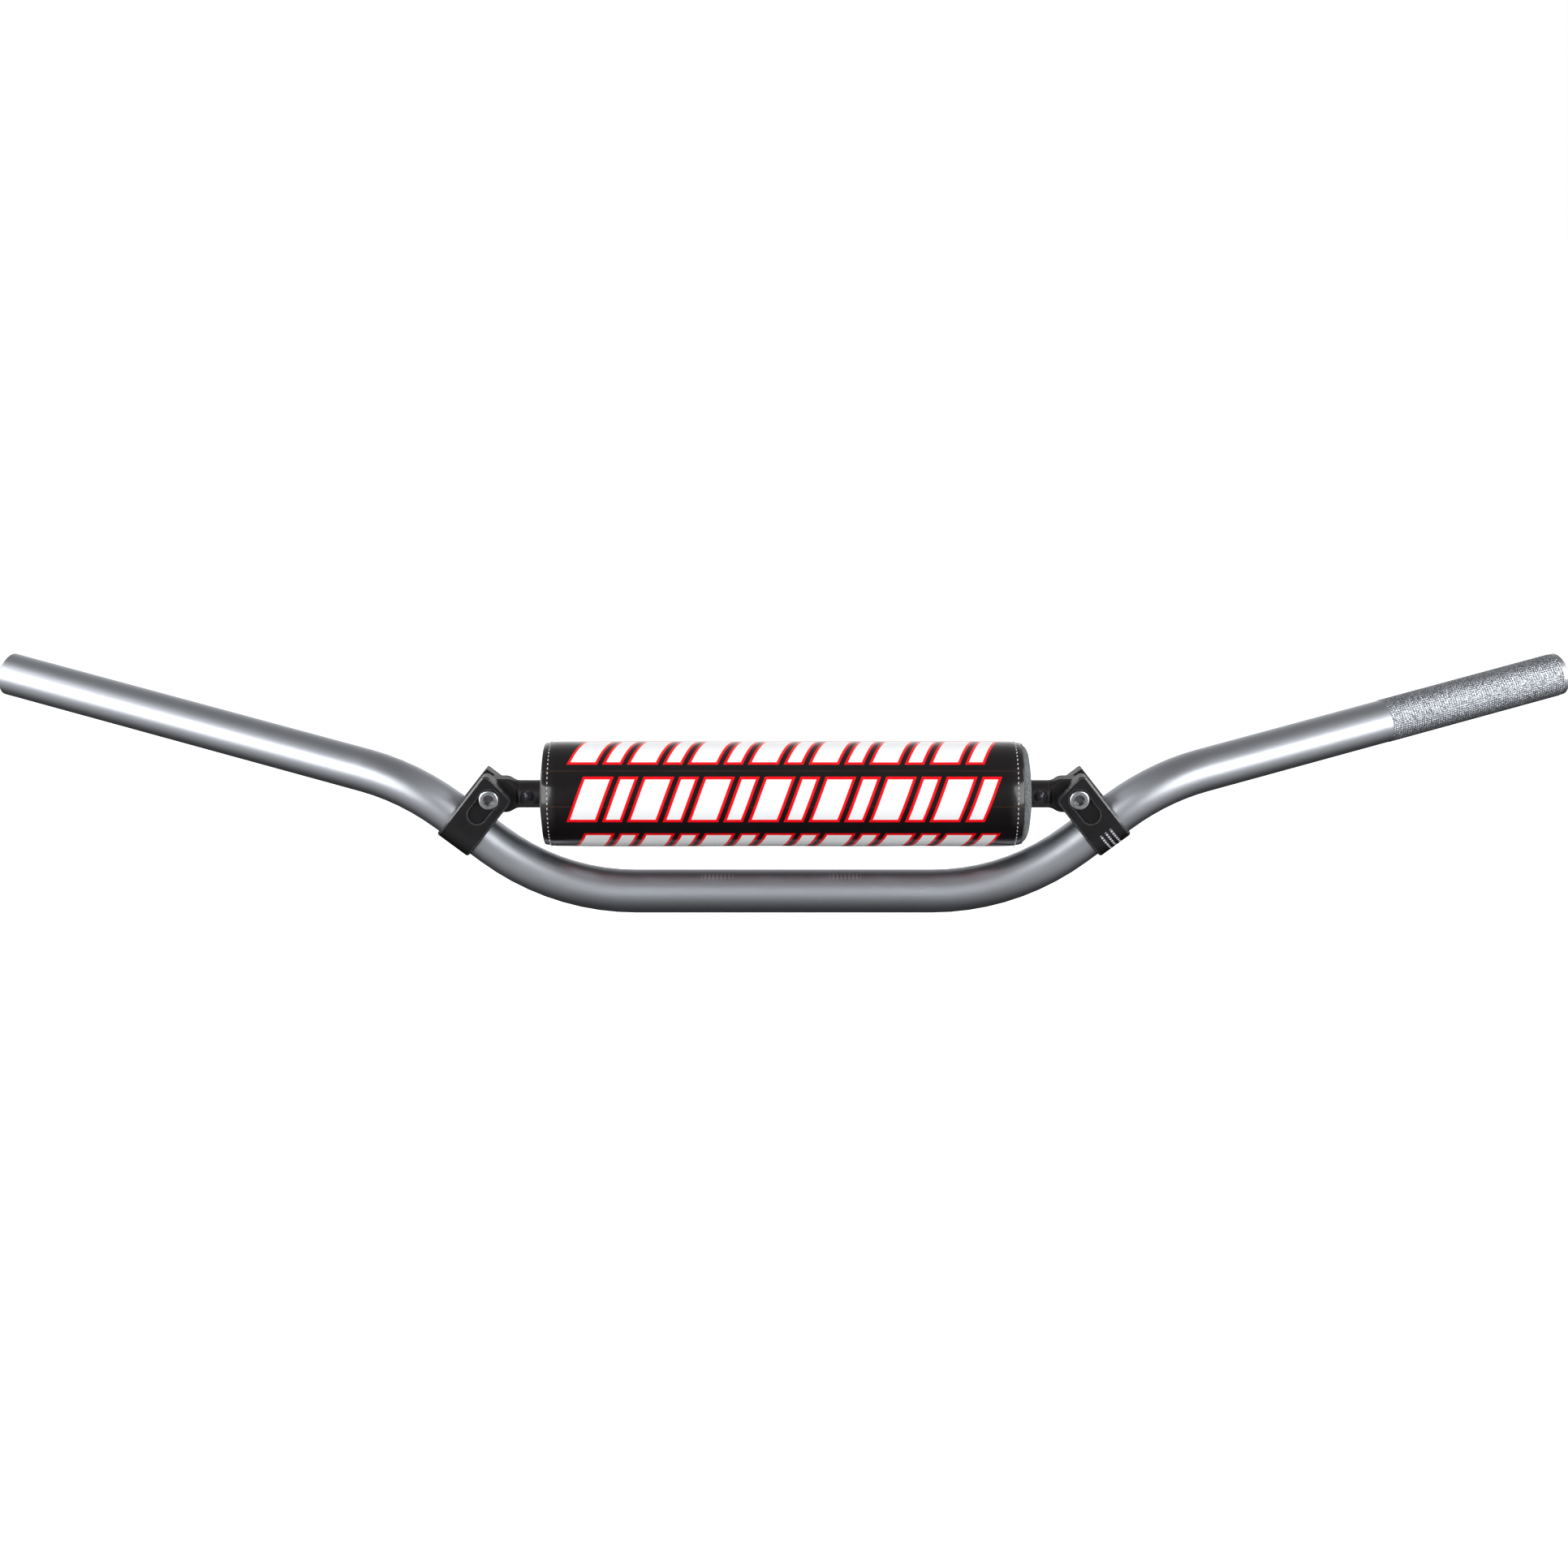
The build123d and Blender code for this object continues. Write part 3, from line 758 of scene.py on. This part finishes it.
printed_vinyl, tree, shader, black = gloss_vinyl("printed_vinyl")
vector, x, y, z = own_place(tree)
up = sum_of(tree, "SUBTRACT", z, crossbar_centre.z)
turned = sum_of(tree, "ARCTAN2", up, y)
turned = sum_of(tree, "WRAP", turned, math.tau, 0.0)
ink_depth = -1.0
for row in print_rows:
    turned_from_row = sum_of(tree, "SUBTRACT", row, turned)
    up_row = sum_of(tree, "MULTIPLY", turned_from_row, cover_radius)
    off_row = sum_of(tree, "ABSOLUTE", up_row)
    inside_row = sum_of(tree, "SUBTRACT", print_height / 2, off_row)
    leaned = sum_of(tree, "SUBTRACT", x, sum_of(tree, "MULTIPLY", up_row, print_slant))
    from_start = sum_of(tree, "ADD", leaned, print_half_length)
    station = sum_of(tree, "WRAP", from_start, print_period, 0.0)
    within = sum_of(tree, "SUBTRACT", print_half_length, sum_of(tree, "ABSOLUTE", leaned))
    for start, end in print_bars:
        past_middle = sum_of(tree, "SUBTRACT", station, (start + end) / 2)
        off_middle = sum_of(tree, "ABSOLUTE", past_middle)
        inside_bar = sum_of(tree, "SUBTRACT", (end - start) / 2, off_middle)
        inside = sum_of(tree, "MINIMUM", inside_bar, inside_row)
        inside = sum_of(tree, "MINIMUM", inside, within)
        ink_depth = sum_of(tree, "MAXIMUM", ink_depth, inside)


def inked_past(depth):
    """1 where the ink is further than this depth inside its outline, and 0 elsewhere."""
    return add_node(
        tree,
        "MapRange",
        {"Value": ink_depth, "From Min": depth - print_blur, "From Max": depth + print_blur},
    ).outputs[0]


# Two faint brownish lines run along the cover at fixed angles round it, in patches
lines = 0.0
for line in brownish_line_angles:
    low, high = line - brownish_line_half_width, line + brownish_line_half_width
    stripe = between(tree, turned, low, high, soft=brownish_line_blur)
    lines = sum_of(tree, "MAXIMUM", lines, stripe)
faint = sum_of(tree, "MULTIPLY", lines, speckle(tree, vector, brownish_line_patch_scale))
inks = (
    (faint, brownish_line_colour),
    (inked_past(0.0), print_red),
    (inked_past(print_outline), print_white),
)
colour = black
for share, ink in inks:
    colour = add_node(tree, "Mix", {0: share, 6: colour, 7: ink}, data_type="RGBA").outputs[2]
tree.links.new(colour, shader.inputs["Base Color"])
give_finish(cover, printed_vinyl)
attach(cover, "pad")
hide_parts("pad_cover")


# Hem stitching: grey polyester thread, lockstitched round each end of the cover in the
# channel that it draws. The row stops at the cover's opening.
stitch_pitch = 0.0026
stitch_long = 0.0014
stitch_thick = 0.00062
stitch_sink = 0.00040
stitch_radius = cover_radius - stitch_sink
first_stitch = 0.03
thread_roughness = 0.62
thread_greys = ((0.30, 0.31, 0.33), (0.72, 0.73, 0.76))
thread_relief = 0.00006
twist_scale = 1500.0
twist_wobble = 1.5


def one_stitch(name, location, along_x):
    """A single lockstitch: a short thread that dives into the cover at both ends."""
    bpy.ops.object.select_all(action="DESELECT")
    bpy.ops.mesh.primitive_uv_sphere_add(
        segments=8, ring_count=6, radius=0.5, location=location
    )
    stitch = bpy.context.object
    stitch.name = name
    if along_x:
        stitch.scale = (stitch_long, stitch_thick, stitch_thick)
    else:
        stitch.scale = (stitch_thick, stitch_thick, stitch_long)
    bpy.ops.object.transform_apply(location=True, scale=True)
    bpy.ops.object.shade_smooth()
    return stitch


def turn_copies(steps, angle):
    """Copies the active piece about the X axis this many times, spread over this angle."""
    bpy.ops.object.mode_set(mode="EDIT")
    bpy.ops.mesh.select_all(action="SELECT")
    bpy.ops.mesh.spin(steps=steps, dupli=True, angle=angle, center=(0, 0, 0), axis=(-1, 0, 0))
    bpy.ops.object.mode_set(mode="OBJECT")


thread, tree, shader = new_finish("polyester_thread", Roughness=thread_roughness)
twist = add_node(
    tree,
    "TexWave",
    {"Vector": own_place(tree)[0], "Scale": twist_scale, "Distortion": twist_wobble},
    bands_direction="DIAGONAL",
).outputs["Fac"]
tree.links.new(tint(tree, twist, *thread_greys), shader.inputs["Base Color"])
roughen(tree, shader, twist, thread_relief)

stitches_round = round(math.tau * stitch_radius / stitch_pitch)
round_steps = stitches_round - 2
round_angle = (wrap_last - wrap_first) * round_steps / (stitches_round - 1)
for side, seam_x in (
    ("left", cover_half_length - stitch_inset),
    ("right", stitch_inset - cover_half_length - cover_creep),
):
    seam = one_stitch(f"hem_stitching_{side}", (seam_x, stitch_radius, 0.0), False)
    turn_copies(round_steps, round_angle)
    turn = Matrix.Rotation(wrap_first + first_stitch, 4, "X")
    settle(seam, Matrix.Translation(crossbar_centre) @ turn)
    give_finish(seam, thread)
    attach(seam, "pad")
    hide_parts(f"pad_stitching_{side}")


# Closing flap: the same vinyl, sewn along the top of the opening and folded over it. Its
# hem is a soft bead, and a row of stitches runs round its free edges.
flap_half_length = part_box("pad_flap")[1].x
flap_radius = 0.0286
flap_thickness = 0.0012
flap_rounding = 0.0005
flap_top = math.radians(28.0)
flap_bottom = math.radians(-46.0)
flap_seam_inset = 0.0032
flap_seam_draw = 0.00022
side_seam_width = 0.0012
low_seam_width = 0.045
flap_ripple = 0.00010
flap_ripple_scale = 30
flap_smooth_angle = math.radians(40)
hem_centre = Vector(joints["flap_peel"]["pos_m"])
hem_radius = 0.0013
hem_rounding = 0.0006
hem_gather = 0.07
hem_gather_scale = 300
top_seam_drop = 0.16
side_seam_start = 0.02

flap = sleeve(
    "pad_flap_sheet",
    flap_half_length,
    flap_radius,
    flap_radius + flap_thickness,
    flap_bottom,
    flap_top,
    flap_rounding,
    cuts=120,
    steps=28,
)
seam_angle = flap_seam_inset / flap_radius
for vertex in flap.data.vertices:
    radius, angle = from_crossbar(vertex.co)
    from_side_seam = flap_half_length - flap_seam_inset - abs(vertex.co.x)
    from_low_seam = angle - flap_bottom - seam_angle
    side_seam = math.exp(-((from_side_seam / side_seam_width) ** 2))
    low_seam = math.exp(-((from_low_seam / low_seam_width) ** 2))
    ripple = noise.noise(Vector((vertex.co.x * flap_ripple_scale, 2 * angle, 4.0)))
    if radius > flap_radius + flap_thickness / 2:
        dip = flap_seam_draw * max(side_seam, low_seam) + flap_ripple * (1 + ripple)
    else:
        dip = 0.0
    at_radius(vertex.co, radius - dip)
select_only(flap)
bpy.ops.object.shade_smooth_by_angle(angle=flap_smooth_angle)

bpy.ops.object.select_all(action="DESELECT")
bpy.ops.mesh.primitive_cylinder_add(
    vertices=20, radius=hem_radius, depth=2 * flap_half_length
)
hem = bpy.context.object
hem.name = "flap_hem_bead"
bpy.ops.object.mode_set(mode="EDIT")
pick_edges(
    hem, lambda a, b: abs(a.z - b.z) < 1e-6 and abs(a.xy.length - hem_radius) < 1e-6
)
bpy.ops.mesh.bevel(offset=hem_rounding, segments=3)
pick_edges(hem, lambda a, b: abs(a.z - b.z) > flap_half_length)
bpy.ops.mesh.subdivide(number_cuts=90)
bpy.ops.object.mode_set(mode="OBJECT")
for vertex in hem.data.vertices:
    fold = noise.noise(Vector((vertex.co.z * hem_gather_scale, 0, 0)))
    gather = 1 - hem_gather * (1 + fold)
    vertex.co.x *= gather
    vertex.co.y *= gather
settle(hem, Matrix.Translation(hem_centre) @ Matrix.Rotation(math.pi / 2, 4, "Y"))
bpy.ops.object.shade_smooth_by_angle(angle=smooth_angle)
plain_vinyl = gloss_vinyl("plain_vinyl")[0]
for piece in (flap, hem):
    give_finish(piece, plain_vinyl)
    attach(piece, "flap")
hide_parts("pad_flap")


def copy_along(piece, count, pitch):
    """Repeats the piece this many times along X, a pitch apart, in its own mesh."""
    row = piece.modifiers.new("row", "ARRAY")
    row.count = count
    row.use_relative_offset = False
    row.use_constant_offset = True
    row.constant_offset_displace = (pitch, 0.0, 0.0)
    select_only(piece)
    bpy.ops.object.modifier_apply(modifier="row")


def finish_flap_seam(seam, angle):
    """Turns a seam to its angle about the crossbar, and sews it to the flap."""
    settle(seam, Matrix.Translation(crossbar_centre) @ Matrix.Rotation(angle, 4, "X"))
    give_finish(seam, thread)
    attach(seam, "flap")


flap_seam_radius = flap_radius + flap_thickness - flap_seam_draw
flap_seam_half_length = flap_half_length - flap_seam_inset
long_count = int(2 * flap_seam_half_length / stitch_pitch)
long_start = -(long_count - 1) * stitch_pitch / 2
for name, angle in (
    ("flap_edge_stitching", flap_bottom + seam_angle),
    ("flap_top_stitching", flap_top - top_seam_drop),
):
    seam = one_stitch(name, (long_start, flap_seam_radius, 0.0), True)
    copy_along(seam, long_count, stitch_pitch)
    finish_flap_seam(seam, angle)
side_steps = int((flap_top - flap_bottom - 2 * seam_angle) * flap_radius / stitch_pitch)
for side, sign in (("left", 1), ("right", -1)):
    seam_place = (sign * flap_seam_half_length, flap_seam_radius, 0.0)
    seam = one_stitch(f"flap_side_stitching_{side}", seam_place, False)
    turn_copies(side_steps, side_steps * stitch_pitch / flap_seam_radius)
    finish_flap_seam(seam, flap_bottom + seam_angle + side_seam_start)


# Hook and loop: woven nylon tapes sewn to the cover and inside the flap. One is set with
# small stiff hooks, and the other has a fuzzy pile.
strip_half_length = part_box("pad_hook_strip")[1].x
hook_radius = 0.0268
hook_first = math.radians(-40.0)
hook_last = math.radians(12.0)
hook_tape = 0.00035
hook_tape_rounding = 0.0001
hook_pitch = 0.0016
hook_height = 0.00045
hook_foot_radius = 0.00022
hook_tip_radius = 0.00012
hook_start = 0.04
loop_radius = 0.0279
loop_first = math.radians(-43.0)
loop_last = math.radians(8.0)
loop_thickness = 0.0007
loop_rounding = 0.0002
loop_fuzz = 0.00022
loop_fuzz_scale = 900
nylon_blacks = ((0.012, 0.012, 0.012), (0.045, 0.045, 0.047))
nylon_weave_scale = 2200.0
nylon_relief = 0.00015

nylon, tree, shader = new_finish("black_nylon_tape", Roughness=0.8, Sheen_Weight=0.3)
weave = add_node(
    tree, "TexVoronoi", {"Vector": own_place(tree)[0], "Scale": nylon_weave_scale}
).outputs["Distance"]
tree.links.new(tint(tree, weave, *nylon_blacks), shader.inputs["Base Color"])
roughen(tree, shader, weave, nylon_relief)

hook_base = hook_radius + hook_tape
tape = sleeve(
    "hook_tape",
    strip_half_length,
    hook_radius,
    hook_base,
    hook_first,
    hook_last,
    hook_tape_rounding,
    cuts=60,
    steps=20,
)
give_finish(tape, nylon)
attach(tape, "pad")
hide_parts("pad_hook_strip")

bpy.ops.object.select_all(action="DESELECT")
bpy.ops.mesh.primitive_cone_add(
    vertices=5,
    radius1=hook_foot_radius,
    radius2=hook_tip_radius,
    depth=hook_height,
    location=(-strip_half_length + hook_pitch, hook_base + hook_height / 2, 0.0),
    rotation=(-math.pi / 2, 0.0, 0.0),
)
hooks = bpy.context.object
hooks.name = "hook_tape_hooks"
bpy.ops.object.transform_apply(location=True, rotation=True, scale=True)
hook_rows = int((hook_last - hook_first) * hook_base / hook_pitch) - 1
turn_copies(hook_rows, hook_rows * hook_pitch / hook_base)
copy_along(hooks, int(2 * strip_half_length / hook_pitch) - 1, hook_pitch)
hook_turn = Matrix.Rotation(hook_first + hook_start, 4, "X")
settle(hooks, Matrix.Translation(crossbar_centre) @ hook_turn)
give_finish(hooks, nylon)
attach(hooks, "pad")

pile = sleeve(
    "loop_tape",
    strip_half_length,
    loop_radius,
    loop_radius + loop_thickness,
    loop_first,
    loop_last,
    loop_rounding,
    cuts=200,
    steps=40,
)
for vertex in pile.data.vertices:
    radius = from_crossbar(vertex.co)[0]
    if radius < loop_radius + loop_thickness / 2:
        fuzz = 0.5 + 0.5 * noise.noise(vertex.co * loop_fuzz_scale)
        at_radius(vertex.co, radius + loop_fuzz * fuzz)
give_finish(pile, nylon)
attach(pile, "flap")
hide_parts("pad_loop_strip")
